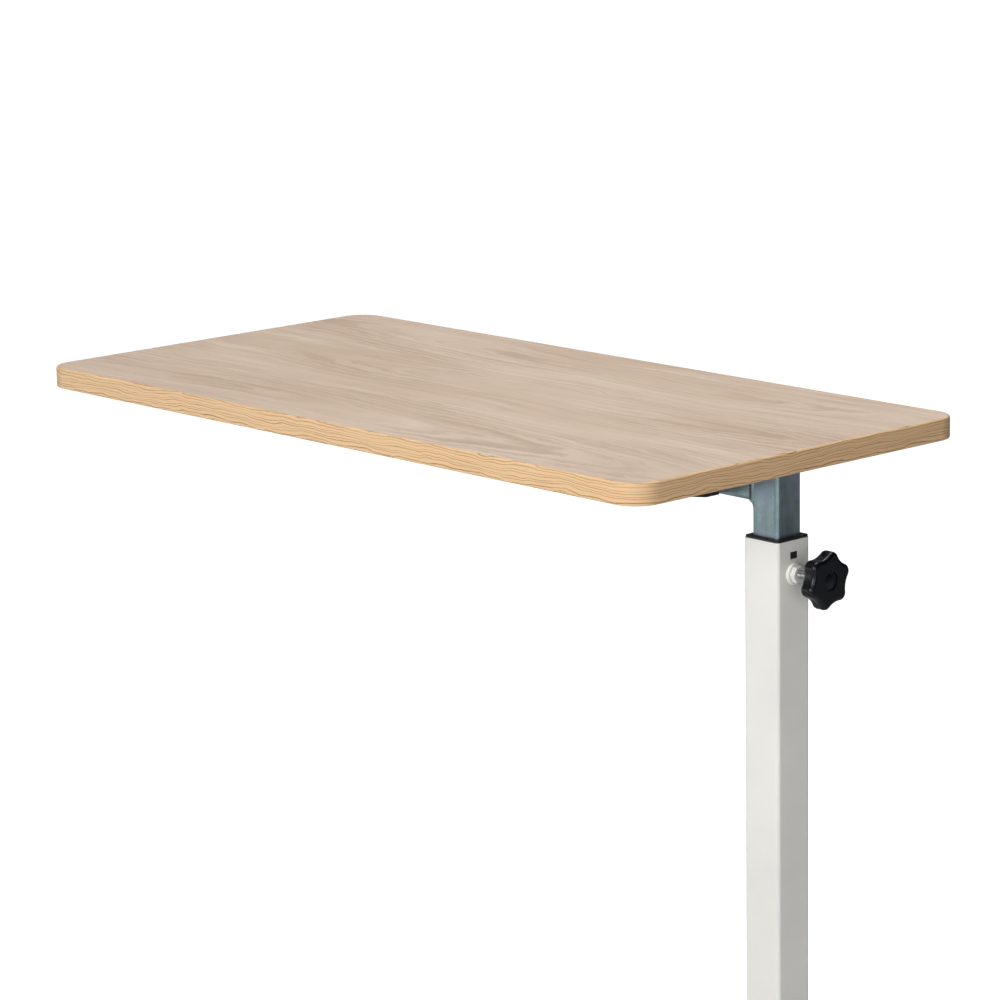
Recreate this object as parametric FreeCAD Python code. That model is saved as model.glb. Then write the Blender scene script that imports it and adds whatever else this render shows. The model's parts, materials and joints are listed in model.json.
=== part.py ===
"""Overbed table: a wood-faced top on a telescopic square mast, clamped by a star knob, on a wheeled base.

Millimetres, +Z up. The origin is the centre of the whole table's footprint box, on the floor.
+X runs along the top towards the mast; +Y runs across it. Each function below makes one sub-part.
"""

import FreeCAD, Part
import math
import os

V = FreeCAD.Vector
X_AXIS = V(1, 0, 0)
Y_AXIS = V(0, 1, 0)
Z_AXIS = V(0, 0, 1)
SIDES = (-1, 1)

# ---------------------------------------------------------------- driving dimensions
TOP_LENGTH = 800.0
TOP_WIDTH = 400.0
TOP_CORNER_R = 26.0
CORE_THICKNESS = 18.0
LAMINATE = 0.8
EDGE_BAND = 2.0
EDGE_ROUND = 1.5
TOP_UNDERSIDE_Z = 751.0          # with the mast at its stored height
MAST_INSET = 33.8                # mast centre to the near short edge of the top

MAST_OUTER = 40.0
MAST_INNER = 30.0
TUBE_WALL = 2.0
TUBE_CORNER_R = 3.6
RIM_Z = TOP_UNDERSIDE_Z - 61.0
BORE_CORNER_R = TUBE_CORNER_R - TUBE_WALL
SLIDE_GAP = 0.3

CLAMP_DROP = 29.0                # clamp axis below the mast's rim
WINDOW_DROP = 13.0               # snap window below the mast's rim
STUD_R = 4.0
KNOB_R = 25.0
KNOB_FRONT = 62.2                # knob's front face, from the mast's axis
KNOB_HEAD = 13.4
KNOB_LOBES = 6
LOBE_R = 6.6
VALLEY_R = 20.9
KNOB_TURN = math.radians(13)     # how far the first lobe is turned from straight up

CASTOR_HEIGHT = 64.0             # floor to the underside of the base
LEG_WIDTH = 50.0
LEG_HEIGHT = 30.0
LEG_LENGTH = 535.0
LEG_OVERHANG = 44.0              # leg end beyond the mast's axis
LEG_CENTRE_Y = 172.0
CROSSBAR_WIDTH = 60.0

WHEEL_R = 25.0
WHEEL_WIDTH = 16.0
TYRE = 3.5
CASTOR_WEB = 12.6                # housing between the two wheels
CASTOR_TRAIL = 22.0
CASTOR_INSET = 30.0              # swivel axis from the leg's end
AXLE_R = 3.0

# ---------------------------------------------------------------- derived places
TOP_THICKNESS = CORE_THICKNESS + 2 * LAMINATE
MAST_X = (TOP_LENGTH - MAST_INSET - KNOB_FRONT) / 2
TOP_X1 = MAST_X + MAST_INSET
TOP_X0 = TOP_X1 - TOP_LENGTH
TOP_Z = TOP_UNDERSIDE_Z + TOP_THICKNESS
LEG_Z0 = CASTOR_HEIGHT
LEG_Z1 = LEG_Z0 + LEG_HEIGHT
LEG_X1 = MAST_X + LEG_OVERHANG
LEG_X0 = LEG_X1 - LEG_LENGTH
CLAMP_Z = RIM_Z - CLAMP_DROP
OUTER_FACE = MAST_X + MAST_OUTER / 2
INNER_FACE = MAST_X + MAST_INNER / 2
WALL_INSIDE = OUTER_FACE - TUBE_WALL


# ---------------------------------------------------------------- shape helpers
def block(x0, x1, y0, y1, z0, z1):
    return Part.makeBox(x1 - x0, y1 - y0, z1 - z0, V(x0, y0, z0))


def edges_along(shape, axis):
    """The straight edges of a shape that run along an axis."""
    found = []
    for edge in shape.Edges:
        if isinstance(edge.Curve, Part.Line):
            way = edge.Vertexes[-1].Point - edge.Vertexes[0].Point
            if abs(abs(way.normalize().dot(axis)) - 1) < 1e-6:
                found.append(edge)
    return found


def bar(x0, x1, y0, y1, z0, z1, axis, radius):
    """A block whose four edges along an axis are rounded."""
    shape = block(x0, x1, y0, y1, z0, z1)
    return shape.makeFillet(radius, edges_along(shape, axis))


def square_bar(cx, cy, side, z0, z1, radius):
    half = side / 2
    return bar(cx - half, cx + half, cy - half, cy + half, z0, z1, Z_AXIS, radius)


def square_tube(cx, cy, side, wall, z0, z1, radius):
    hollow = square_bar(cx, cy, side - 2 * wall, z0, z1, radius - wall)
    return square_bar(cx, cy, side, z0, z1, radius).cut(hollow)


def rod(x, y, z, radius, length, axis):
    """A cylinder that starts at a point and runs along an axis."""
    return Part.makeCylinder(radius, length, V(x, y, z), axis)


def prism(points, start, travel):
    """A solid swept straight from a polygon."""
    loop = [start + p for p in points]
    return Part.Face(Part.makePolygon(loop + loop[:1])).extrude(travel)


def hexagon(centre, across_flats, height, axis, first_corner):
    """A hexagonal prism with one corner in the direction first_corner."""
    corner = V(first_corner).normalize() * (across_flats / math.sqrt(3))
    points = []
    for k in range(6):
        points.append(FreeCAD.Rotation(axis, 60 * k).multVec(corner))
    return prism(points, centre, V(axis) * height)


def turned_hexagon(centre, across_flats, height, axis, first_corner):
    """A hexagonal prism whose far corners are turned off at 30 degrees."""
    body = hexagon(centre, across_flats, height, axis, first_corner)
    rise = 0.75
    wide = across_flats / math.sqrt(3) + 0.4
    cone_start = centre + V(axis) * (height - rise)
    turned = Part.makeCone(wide, wide - rise * 1.7, rise, cone_start, axis)
    return body.common(Part.makeCylinder(wide, height - rise, centre, axis).fuse(turned))


def nut(centre, across_flats, height, bore_r, axis, first_corner):
    bore = Part.makeCylinder(bore_r, height, centre, axis)
    return turned_hexagon(centre, across_flats, height, axis, first_corner).cut(bore)


def wood_screw(x, y, seat_z, top_z, shank_r=2.0, head_r=4.2):
    """A pan-head screw that points up: its head sits below seat_z."""
    head_height = 2.6
    head = Part.makeCone(head_r - 1.0, head_r, head_height, V(x, y, seat_z - head_height), Z_AXIS)
    recess = rod(x, y, seat_z - head_height, 1.3, 1.2, Z_AXIS)
    tip = 3.0
    shank = rod(x, y, seat_z, shank_r, top_z - tip - seat_z, Z_AXIS)
    point = Part.makeCone(shank_r, 0.3, tip, V(x, y, top_z - tip), Z_AXIS)
    return head.cut(recess).fuse([shank, point])


def mirrored_y(shape):
    return shape.mirror(V(0, 0, 0), Y_AXIS)


# ---------------------------------------------------------------- the top
ARM_WIDTH = MAST_INNER
ARM_HEIGHT = 30.0
ARM_X1 = MAST_X - MAST_INNER / 2
ARM_X0 = ARM_X1 - 485.0
ARM_Z0 = TOP_UNDERSIDE_Z - ARM_HEIGHT
ARM_SCREW_X = [ARM_X1 - d for d in (110.0, 250.0, 390.0)]
ACCESS_HOLE_R = 5.2
SHEET = 3.0                      # folded crossbar sheet
BAR_REACH = 150.0                # crossbar's half length
BAR_FLANGE = 26.0
BAR_TIP_HEIGHT = 8.0
BAR_LEVEL_END = 31.0             # where the level lower edge starts to rise
BAR_NEAR_X = MAST_X - 53.0       # face nearer the mast, inner crossbar
BAR_FAR_X = ARM_X0 + 60.0        # face nearer the mast, outer crossbar
BAR_SCREW_Y = (62.0, 128.0)
SCREW_BITE = 13.0


def crossbar_screw_places():
    places = []
    for face_x in (BAR_NEAR_X, BAR_FAR_X):
        for side in SIDES:
            for y in BAR_SCREW_Y:
                places.append((face_x - BAR_FLANGE / 2 - 1, side * y))
    return places


def screws_crossbars():
    seat = TOP_UNDERSIDE_Z - SHEET
    top = TOP_UNDERSIDE_Z + SCREW_BITE
    return Part.makeCompound([wood_screw(x, y, seat, top) for x, y in crossbar_screw_places()])


def screws_arm():
    seat = TOP_UNDERSIDE_Z - TUBE_WALL
    top = TOP_UNDERSIDE_Z + SCREW_BITE
    return Part.makeCompound([wood_screw(x, 0, seat, top) for x in ARM_SCREW_X])


def slab(inset, z0, z1):
    half = TOP_WIDTH / 2 - inset
    radius = TOP_CORNER_R - inset
    return bar(TOP_X0 + inset, TOP_X1 - inset, -half, half, z0, z1, Z_AXIS, radius)


def table_core():
    z0 = TOP_UNDERSIDE_Z + LAMINATE
    core = slab(EDGE_BAND, z0, z0 + CORE_THICKNESS)
    return core.cut([screws_crossbars(), screws_arm()])


def top_laminate():
    return slab(EDGE_BAND, TOP_Z - LAMINATE, TOP_Z)


def bottom_laminate():
    sheet = slab(EDGE_BAND, TOP_UNDERSIDE_Z, TOP_UNDERSIDE_Z + LAMINATE)
    return sheet.cut([screws_crossbars(), screws_arm()])


def edge_band():
    outside = slab(0, TOP_UNDERSIDE_Z, TOP_Z)
    rims = []
    for face in outside.Faces:
        if abs(face.normalAt(0, 0).z) > 0.9:
            rims += face.Edges
    return outside.makeFillet(EDGE_ROUND, rims).cut(slab(EDGE_BAND, TOP_UNDERSIDE_Z, TOP_Z))


def crossbar_half(face_x, side):
    """One half of a folded crossbar: a tapered web below a screw flange."""
    y0 = ARM_WIDTH / 2
    drops = [(y0, 0), (y0, -ARM_HEIGHT), (BAR_LEVEL_END, -ARM_HEIGHT),
             (BAR_REACH, -BAR_TIP_HEIGHT), (BAR_REACH, 0)]
    outline = [V(0, y, z) for y, z in drops]
    web = prism(outline, V(face_x - SHEET, 0, TOP_UNDERSIDE_Z), V(SHEET, 0, 0))
    bend = []
    for edge in edges_along(web, X_AXIS):
        at = edge.Vertexes[0].Point
        if abs(at.y - BAR_LEVEL_END) < 0.1:
            bend.append(edge)
    web = web.makeFillet(22.0, bend)
    z0 = TOP_UNDERSIDE_Z - SHEET
    flange = block(face_x - BAR_FLANGE, face_x, y0, BAR_REACH, z0, TOP_UNDERSIDE_Z)
    tip_corner = [e for e in edges_along(flange, Z_AXIS)
                  if e.Vertexes[0].Point.y > BAR_REACH - 1 and e.Vertexes[0].Point.x < face_x - 1]
    flange = flange.makeFillet(8.0, tip_corner)
    half = web.fuse(flange).removeSplitter()
    fold = [e for e in edges_along(half, Y_AXIS)
            if abs(e.Vertexes[0].Point.x - face_x) < 0.01
            and abs(e.Vertexes[0].Point.z - TOP_UNDERSIDE_Z) < 0.01]
    half = half.makeFillet(2.5, fold)
    if side < 0:
        half = mirrored_y(half)
    return half.cut(screws_crossbars())


def crossbar(face_x):
    return Part.makeCompound([crossbar_half(face_x, side) for side in SIDES])


def support_arm():
    half = ARM_WIDTH / 2
    outside = bar(ARM_X0, ARM_X1, -half, half, ARM_Z0, TOP_UNDERSIDE_Z, X_AXIS, TUBE_CORNER_R)
    inner = half - TUBE_WALL
    hollow = bar(ARM_X0, ARM_X1, -inner, inner, ARM_Z0 + TUBE_WALL,
                 TOP_UNDERSIDE_Z - TUBE_WALL, X_AXIS, 1.0)
    arm = outside.cut(hollow)
    access = [rod(x, 0, ARM_Z0, ACCESS_HOLE_R, TUBE_WALL, Z_AXIS) for x in ARM_SCREW_X]
    return arm.cut(access + [screws_arm()])


def arm_end_plug():
    """A ribbed push-in plug that closes the arm's free end."""
    half = ARM_WIDTH / 2
    cap = 3.0
    grip = half - TUBE_WALL - 0.1
    mid_z = ARM_Z0 + ARM_HEIGHT / 2
    face = bar(ARM_X0 - cap, ARM_X0, -half, half, ARM_Z0, TOP_UNDERSIDE_Z, X_AXIS, TUBE_CORNER_R)
    outer_rim = [e for e in face.Edges if e.BoundBox.XMax < ARM_X0 - cap + 0.01]
    face = face.makeFillet(1.2, outer_rim)
    body = bar(ARM_X0, ARM_X0 + 14, -grip, grip, mid_z - grip, mid_z + grip, X_AXIS, 1.0)
    hollow = block(ARM_X0, ARM_X0 + 14, 2 - grip, grip - 2, mid_z - grip + 2, mid_z + grip - 2)
    return face.fuse(body.cut(hollow)).removeSplitter()


# ---------------------------------------------------------------- the sliding mast
INNER_MAST_Z0 = LEG_Z1 + 30.0
INNER_MAST_STOP = 12.0           # glide's height outside the tube


def inner_mast_tube():
    return square_tube(MAST_X, 0, MAST_INNER, TUBE_WALL, INNER_MAST_Z0 + INNER_MAST_STOP,
                       TOP_UNDERSIDE_Z, TUBE_CORNER_R)


def mast_glide():
    """The plastic foot that guides the inner tube inside the outer one."""
    side = MAST_OUTER - 2 * TUBE_WALL - 2 * SLIDE_GAP
    z0 = INNER_MAST_Z0
    shoulder = square_bar(MAST_X, 0, side, z0, z0 + INNER_MAST_STOP, BORE_CORNER_R)
    rims = [e for e in shoulder.Edges if e.BoundBox.ZMax < z0 + 0.01]
    shoulder = shoulder.makeFillet(0.8, rims)
    spigot_side = MAST_INNER - 2 * TUBE_WALL - 0.2
    top = z0 + INNER_MAST_STOP + 22
    spigot = square_bar(MAST_X, 0, spigot_side, z0 + INNER_MAST_STOP, top, BORE_CORNER_R)
    hollow = square_bar(MAST_X, 0, spigot_side - 5, z0 + 3, top, 1.0)
    return shoulder.fuse(spigot).cut(hollow).removeSplitter()


WELD_LEG = 8.0


def arm_weld():
    """The beads that join the arm to the inner tube: a hollow fillet below, one bead each side."""
    top = ARM_Z0
    low = V(ARM_X1, 0, top - WELD_LEG)
    back = V(ARM_X1 - WELD_LEG, 0, top)
    corner = V(ARM_X1, 0, top)
    lean = WELD_LEG * 0.38
    middle = V(ARM_X1 - lean, 0, top - lean)
    hollow = Part.Arc(low, middle, back).toShape()
    wire = Part.Wire([Part.makeLine(corner, low), hollow, Part.makeLine(back, corner)])
    reach = MAST_INNER / 2 - TUBE_CORNER_R
    below = Part.Face(wire).extrude(V(0, 2 * reach, 0))
    below.translate(V(0, -reach, 0))
    beads = [below]
    tube = square_bar(MAST_X, 0, MAST_INNER, ARM_Z0 - 20, TOP_UNDERSIDE_Z, TUBE_CORNER_R)
    half = ARM_WIDTH / 2
    arm = bar(ARM_X0, ARM_X1, -half, half, ARM_Z0, TOP_UNDERSIDE_Z, X_AXIS, TUBE_CORNER_R)
    for side in SIDES:
        bead = rod(ARM_X1, side * (half - 1.6), ARM_Z0 + 1, 2.6, ARM_HEIGHT - 3, Z_AXIS)
        beads.append(bead.cut([tube, arm]))
    return Part.makeCompound([solid for bead in beads for solid in bead.Solids])


# ---------------------------------------------------------------- the fixed mast
FLANGE_THICKNESS = 6.0
FLANGE_LENGTH = 116.0
MAST_FOOT_Z = LEG_Z1 + FLANGE_THICKNESS
WINDOW_WIDTH = 9.0
WINDOW_HEIGHT = 6.4
STUD_HOLE_R = 4.4
BOLT_R = 4.0
WASHER = 1.6
BOLT_X = 19.0
BOLT_Y = 44.0
BOLT_PLACES = [(MAST_X + sx * BOLT_X, sy * BOLT_Y) for sx in SIDES for sy in SIDES]


def window(clearance, depth_in, depth_out):
    """The block of space in the snap window, less a clearance all round."""
    half_w = WINDOW_WIDTH / 2 - clearance
    half_h = WINDOW_HEIGHT / 2 - clearance
    z = RIM_Z - WINDOW_DROP
    return block(depth_in, depth_out, -half_w, half_w, z - half_h, z + half_h)


def outer_mast_tube():
    tube = square_tube(MAST_X, 0, MAST_OUTER, TUBE_WALL, MAST_FOOT_Z, RIM_Z, TUBE_CORNER_R)
    stud_hole = rod(MAST_X + 10, 0, CLAMP_Z, STUD_HOLE_R, 20, X_AXIS)
    return tube.cut([stud_hole, window(0, MAST_X + 10, OUTER_FACE + 5)])


BUSH_FLANGE = 2.2
BUSH_DEPTH = 46.0
PAD_R = 6.0


def mast_bush():
    """The guide bush in the mast's mouth: a collar on the rim, a sleeve inside, a tab in the window."""
    top = RIM_Z + BUSH_FLANGE
    collar = square_bar(MAST_X, 0, MAST_OUTER - 0.6, RIM_Z, top, TUBE_CORNER_R)
    rim = [e for e in collar.Edges if e.BoundBox.ZMin > top - 0.01]
    collar = collar.makeFillet(0.9, rim)
    sleeve_side = MAST_OUTER - 2 * TUBE_WALL - 0.2
    sleeve = square_bar(MAST_X, 0, sleeve_side, RIM_Z - BUSH_DEPTH, RIM_Z, BORE_CORNER_R)
    tab = window(0.25, WALL_INSIDE - 0.2, OUTER_FACE - 0.4)
    passage_side = MAST_INNER + 2 * SLIDE_GAP
    passage = square_bar(MAST_X, 0, passage_side, RIM_Z - BUSH_DEPTH, top, TUBE_CORNER_R)
    pad_hole = rod(INNER_FACE - 1, 0, CLAMP_Z, PAD_R + 0.2, 6, X_AXIS)
    return collar.fuse([sleeve, tab]).cut([passage, pad_hole]).removeSplitter()


def mast_flange():
    half = CROSSBAR_WIDTH / 2 - 1
    plate = bar(MAST_X - half, MAST_X + half, -FLANGE_LENGTH / 2, FLANGE_LENGTH / 2,
                LEG_Z1, MAST_FOOT_Z, Z_AXIS, 6.0)
    return plate.cut([rod(x, y, LEG_Z1, BOLT_R + 0.5, FLANGE_THICKNESS, Z_AXIS)
                      for x, y in BOLT_PLACES])


def mast_gussets():
    """Two triangular ribs that brace the mast across the crossbar."""
    rise = 62.0
    reach = 34.0
    toe = 6.0
    start = MAST_OUTER / 2
    outline = [V(0, start, 0), V(0, start + reach, 0), V(0, start + reach, toe),
               V(0, start + toe, rise), V(0, start, rise)]
    rib = prism(outline, V(MAST_X - 2, 0, MAST_FOOT_Z), V(4, 0, 0))
    return Part.makeCompound([rib, mirrored_y(rib)])


def mast_foot_weld():
    """The fillet bead round the foot of the mast."""
    leg = 4.0
    beads = []
    for side in SIDES:
        face = MAST_X + side * MAST_OUTER / 2
        outline = [V(face, 0, 0), V(face + side * leg, 0, 0), V(face, 0, leg)]
        reach = MAST_OUTER / 2 - TUBE_CORNER_R
        beads.append(prism(outline, V(0, -reach, MAST_FOOT_Z), V(0, 2 * reach, 0)))
    return Part.makeCompound(beads)


def mast_bolts():
    bolts = []
    for x, y in BOLT_PLACES:
        head_z = MAST_FOOT_Z + WASHER
        head = turned_hexagon(V(x, y, head_z), 13.0, 5.3, Z_AXIS, X_AXIS)
        shank = rod(x, y, LEG_Z1 - 13, BOLT_R, head_z - LEG_Z1 + 13, Z_AXIS)
        bolts.append(head.fuse(shank))
    return Part.makeCompound(bolts)


def mast_washers():
    rings = []
    for x, y in BOLT_PLACES:
        ring = rod(x, y, MAST_FOOT_Z, 8.0, WASHER, Z_AXIS)
        rings.append(ring.cut(rod(x, y, MAST_FOOT_Z, BOLT_R + 0.2, WASHER, Z_AXIS)))
    return Part.makeCompound(rings)


def mast_bolt_nuts():
    """Nuts welded under the crossbar's top wall."""
    z = LEG_Z1 - TUBE_WALL
    return Part.makeCompound([nut(V(x, y, z), 13.0, 6.5, BOLT_R, -Z_AXIS, X_AXIS)
                              for x, y in BOLT_PLACES])


# ---------------------------------------------------------------- the height clamp
CLAMP_NUT_FLATS = 13.0
CLAMP_NUT_HEIGHT = 6.8
THREAD_GAP = 0.05
PAD_THICKNESS = 1.6
PAD_X0 = INNER_FACE + 0.05
STUD_X0 = PAD_X0 + PAD_THICKNESS
KNOB_X1 = MAST_X + KNOB_FRONT
KNOB_X0 = KNOB_X1 - KNOB_HEAD
HUB_R = 9.0
HUB_X0 = KNOB_X0 - 8.0
INSERT_R = 6.0
INSERT_X1 = KNOB_X1 - 7.0
RECESS_R = 8.4
RECESS_DEPTH = 2.4


def clamp_nut():
    start = V(OUTER_FACE, 0, CLAMP_Z)
    return nut(start, CLAMP_NUT_FLATS, CLAMP_NUT_HEIGHT, STUD_R + THREAD_GAP, X_AXIS, Y_AXIS)


def clamp_nut_weld():
    """The bead round the nut, where it meets the mast."""
    outer_r = 9.6
    rise = 2.6
    start = V(OUTER_FACE, 0, CLAMP_Z)
    bead = Part.makeCone(outer_r, CLAMP_NUT_FLATS / 2 + 0.6, rise, start, X_AXIS)
    core = hexagon(start, CLAMP_NUT_FLATS, rise, X_AXIS, Y_AXIS)
    return bead.cut(core)


def clamp_pad():
    pad = rod(PAD_X0, 0, CLAMP_Z, PAD_R, PAD_THICKNESS, X_AXIS)
    return pad.makeFillet(0.3, [e for e in pad.Edges if isinstance(e.Curve, Part.Circle)])


def clamp_stud():
    length = INSERT_X1 - STUD_X0
    stud = rod(STUD_X0, 0, CLAMP_Z, STUD_R, length, X_AXIS)
    return stud.makeChamfer(0.8, [e for e in stud.Edges if e.BoundBox.XMax < STUD_X0 + 0.01])


def lobed_face(radius, lobe_r, valley_r, x):
    """Convex lobes joined by tangent hollows, in the plane at x."""
    half_step = math.pi / KNOB_LOBES
    centre_r = radius - lobe_r
    reach = valley_r - centre_r * math.cos(half_step)
    across = centre_r * math.sin(half_step)
    hollow_r = (reach ** 2 + across ** 2 - lobe_r ** 2) / (2 * (lobe_r - reach))

    def place(distance, angle):
        return V(x, distance * math.sin(angle), CLAMP_Z + distance * math.cos(angle))

    def touch(lobe, valley):
        centre = place(centre_r, lobe)
        towards = place(valley_r + hollow_r, valley) - centre
        return centre + towards.normalize() * lobe_r

    edges = []
    for k in range(KNOB_LOBES):
        lobe = KNOB_TURN + 2 * half_step * k
        valley = lobe + half_step
        start = touch(lobe, lobe - half_step)
        middle = touch(lobe, valley)
        end = touch(lobe + 2 * half_step, valley)
        edges.append(Part.Arc(start, place(radius, lobe), middle).toShape())
        edges.append(Part.Arc(middle, place(valley_r, valley), end).toShape())
    return Part.Face(Part.Wire(edges))


def knob():
    """The six-lobed star knob with its hub, front recess and the bore for its insert."""
    head = lobed_face(KNOB_R, LOBE_R, VALLEY_R, KNOB_X0).extrude(V(KNOB_HEAD, 0, 0))
    rims = [e for e in head.Edges if e.BoundBox.XLength < 0.01]
    head = head.makeFillet(3.4, rims)
    hub = Part.makeCone(HUB_R, HUB_R + 3, KNOB_X0 - HUB_X0 + 2, V(HUB_X0, 0, CLAMP_Z), X_AXIS)
    recess = rod(KNOB_X1 - RECESS_DEPTH, 0, CLAMP_Z, RECESS_R, RECESS_DEPTH, X_AXIS)
    bore = rod(HUB_X0, 0, CLAMP_Z, INSERT_R, INSERT_X1 - HUB_X0, X_AXIS)
    return head.fuse(hub).cut([recess, bore]).removeSplitter()


def knob_insert():
    """The moulded-in bush that grips the stud."""
    length = INSERT_X1 - HUB_X0
    return rod(HUB_X0, 0, CLAMP_Z, INSERT_R, length, X_AXIS).cut(
        rod(HUB_X0, 0, CLAMP_Z, STUD_R, length, X_AXIS))


def knob_cover():
    """The small domed disc pressed into the knob's front recess."""
    start = KNOB_X1 - RECESS_DEPTH
    disc = rod(start, 0, CLAMP_Z, RECESS_R - 0.4, 1.3, X_AXIS)
    sphere_r = 34.0
    dome_top = start + 1.9
    sphere = Part.makeSphere(sphere_r, V(dome_top - sphere_r, 0, CLAMP_Z))
    tall = rod(start, 0, CLAMP_Z, RECESS_R - 0.4, 2.2, X_AXIS)
    return disc.fuse(tall.common(sphere)).removeSplitter()


# ---------------------------------------------------------------- the base
LEG_CORNER_R = 4.0
SOCKET_R = 8.0
STEM_R = 5.0
PIVOT_R = 4.5
COLLAR = 3.0
CASTOR_X = (LEG_X1 - CASTOR_INSET, LEG_X0 + CASTOR_INSET)
CASTOR_PLACES = [(x, side * LEG_CENTRE_Y) for x in CASTOR_X for side in SIDES]
BRAKED = (0, 1)                  # castors under the mast carry brake pedals


def base_crossbar():
    half_x = CROSSBAR_WIDTH / 2
    half_y = LEG_CENTRE_Y - LEG_WIDTH / 2
    outside = bar(MAST_X - half_x, MAST_X + half_x, -half_y, half_y, LEG_Z0, LEG_Z1,
                  Y_AXIS, LEG_CORNER_R)
    inner = half_x - TUBE_WALL
    hollow = bar(MAST_X - inner, MAST_X + inner, -half_y, half_y, LEG_Z0 + TUBE_WALL,
                 LEG_Z1 - TUBE_WALL, Y_AXIS, LEG_CORNER_R - TUBE_WALL)
    holes = [rod(x, y, LEG_Z1 - TUBE_WALL, BOLT_R + 0.5, TUBE_WALL, Z_AXIS) for x, y in BOLT_PLACES]
    return outside.cut([hollow] + holes)


def leg_shape(inset, x0, x1):
    """The leg's section, drawn in by an inset, between two places along it."""
    half = LEG_WIDTH / 2 - inset
    return bar(x0, x1, LEG_CENTRE_Y - half, LEG_CENTRE_Y + half, LEG_Z0 + inset, LEG_Z1 - inset,
               X_AXIS, max(LEG_CORNER_R - inset, 1.5))


def base_leg(side):
    leg = leg_shape(0, LEG_X0, LEG_X1).cut(leg_shape(TUBE_WALL, LEG_X0, LEG_X1))
    leg = leg.cut([rod(x, LEG_CENTRE_Y, LEG_Z0, SOCKET_R, TUBE_WALL, Z_AXIS) for x in CASTOR_X])
    return leg if side > 0 else mirrored_y(leg)


def leg_end_caps():
    """Ribbed plastic plugs in the four open leg ends."""
    cap = 3.0
    depth = 14.0
    caps = []
    for end, way in ((LEG_X0, -1), (LEG_X1, 1)):
        outside = end + way * cap
        face = leg_shape(0, min(end, outside), max(end, outside))
        rim = [e for e in face.Edges if abs(e.BoundBox.XMin - outside) < 0.01
               and e.BoundBox.XLength < 0.01]
        face = face.makeFillet(1.4, rim)
        inside = end - way * depth
        x0, x1 = min(end, inside), max(end, inside)
        body = leg_shape(TUBE_WALL + 0.1, x0, x1).cut(leg_shape(TUBE_WALL + 2.0, x0, x1))
        plug = face.fuse(body).removeSplitter()
        caps += [plug, mirrored_y(plug)]
    return Part.makeCompound(caps)


def castor_sockets():
    """Threaded bushes welded into the legs to take the castor stems."""
    height = LEG_HEIGHT - TUBE_WALL
    return Part.makeCompound([rod(x, y, LEG_Z0, SOCKET_R, height, Z_AXIS).cut(
        rod(x, y, LEG_Z0, STEM_R, height, Z_AXIS)) for x, y in CASTOR_PLACES])


def castor_stems():
    """Each stem: a threaded end in the leg, a hexagonal collar below it, and the swivel pivot."""
    stems = []
    for x, y in CASTOR_PLACES:
        thread = rod(x, y, LEG_Z0, STEM_R, LEG_HEIGHT - 6, Z_AXIS)
        collar = turned_hexagon(V(x, y, LEG_Z0), 17.0, COLLAR, -Z_AXIS, X_AXIS)
        pivot = rod(x, y, LEG_Z0 - COLLAR - 18, PIVOT_R, 18, Z_AXIS)
        stems.append(thread.fuse([collar, pivot]))
    return Part.makeCompound(stems)


# ---------------------------------------------------------------- the castors
HOOD_R = WHEEL_R + 4.5
HOOD_HALF = CASTOR_WEB / 2 + 0.7 + WHEEL_WIDTH + 0.5
WHEEL_INNER_Y = CASTOR_WEB / 2 + 0.7
BOSS_R = 10.0
BOSS_TOP = LEG_Z0 - COLLAR - 0.5
PEDAL_PIVOT_REACH = HOOD_R + 4.6
PEDAL_PIVOT_ANGLE = math.radians(33)
PEDAL_HALF = 11.0
EAR = 3.0
PIN_R = 1.5


def pedal_pivot(x):
    """The pedal's pivot, behind and above the axle."""
    axle_x = x - CASTOR_TRAIL
    return V(axle_x - PEDAL_PIVOT_REACH * math.cos(PEDAL_PIVOT_ANGLE), 0,
             WHEEL_R + PEDAL_PIVOT_REACH * math.sin(PEDAL_PIVOT_ANGLE))


def across(x, y, z, radius, half_width):
    """A cylinder along Y, centred on y."""
    return rod(x, y - half_width, z, radius, 2 * half_width, Y_AXIS)


def castor_housing(index):
    x, y = CASTOR_PLACES[index]
    axle_x = x - CASTOR_TRAIL
    hood = across(axle_x, y, WHEEL_R, HOOD_R, HOOD_HALF)
    hood = hood.makeFillet(2.5, [e for e in hood.Edges if isinstance(e.Curve, Part.Circle)])
    hood = hood.cut(block(axle_x - 40, axle_x + 40, y - 40, y + 40, -10, WHEEL_R + 3))
    web = across(axle_x, y, WHEEL_R, 14.0, CASTOR_WEB / 2)
    boss = rod(x, y, WHEEL_R + 3, BOSS_R, BOSS_TOP - WHEEL_R - 3, Z_AXIS)
    shapes = [web, boss]
    if index in BRAKED:
        pivot = pedal_pivot(x)
        for side in SIDES:
            ear_y = y + side * (PEDAL_HALF + 0.4 + EAR / 2)
            ear = across(pivot.x, ear_y, pivot.z, 4.0, EAR / 2)
            root = block(pivot.x, pivot.x + 12, ear_y - EAR / 2, ear_y + EAR / 2,
                         pivot.z - 4, pivot.z + 4)
            shapes += [ear, root]
    housing = hood.fuse(shapes)
    spaces = []
    for side in SIDES:
        edge = y + side * CASTOR_WEB / 2
        outside = y + side * (HOOD_HALF + 5)
        middle, half = (edge + outside) / 2, abs(outside - edge) / 2
        spaces.append(across(axle_x, middle, WHEEL_R, WHEEL_R + 1.3, half))
    spaces.append(across(axle_x, y, WHEEL_R, AXLE_R + 0.05, 20))
    spaces.append(rod(x, y, WHEEL_R - 5, PIVOT_R + 0.05, BOSS_TOP, Z_AXIS))
    if index in BRAKED:
        spaces.append(across(pivot.x, y, pivot.z, PIN_R, 20))
    return housing.cut(spaces).removeSplitter()


def castor_axle(index):
    x, y = CASTOR_PLACES[index]
    return across(x - CASTOR_TRAIL, y, WHEEL_R, AXLE_R, WHEEL_INNER_Y + WHEEL_WIDTH - 5)


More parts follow.
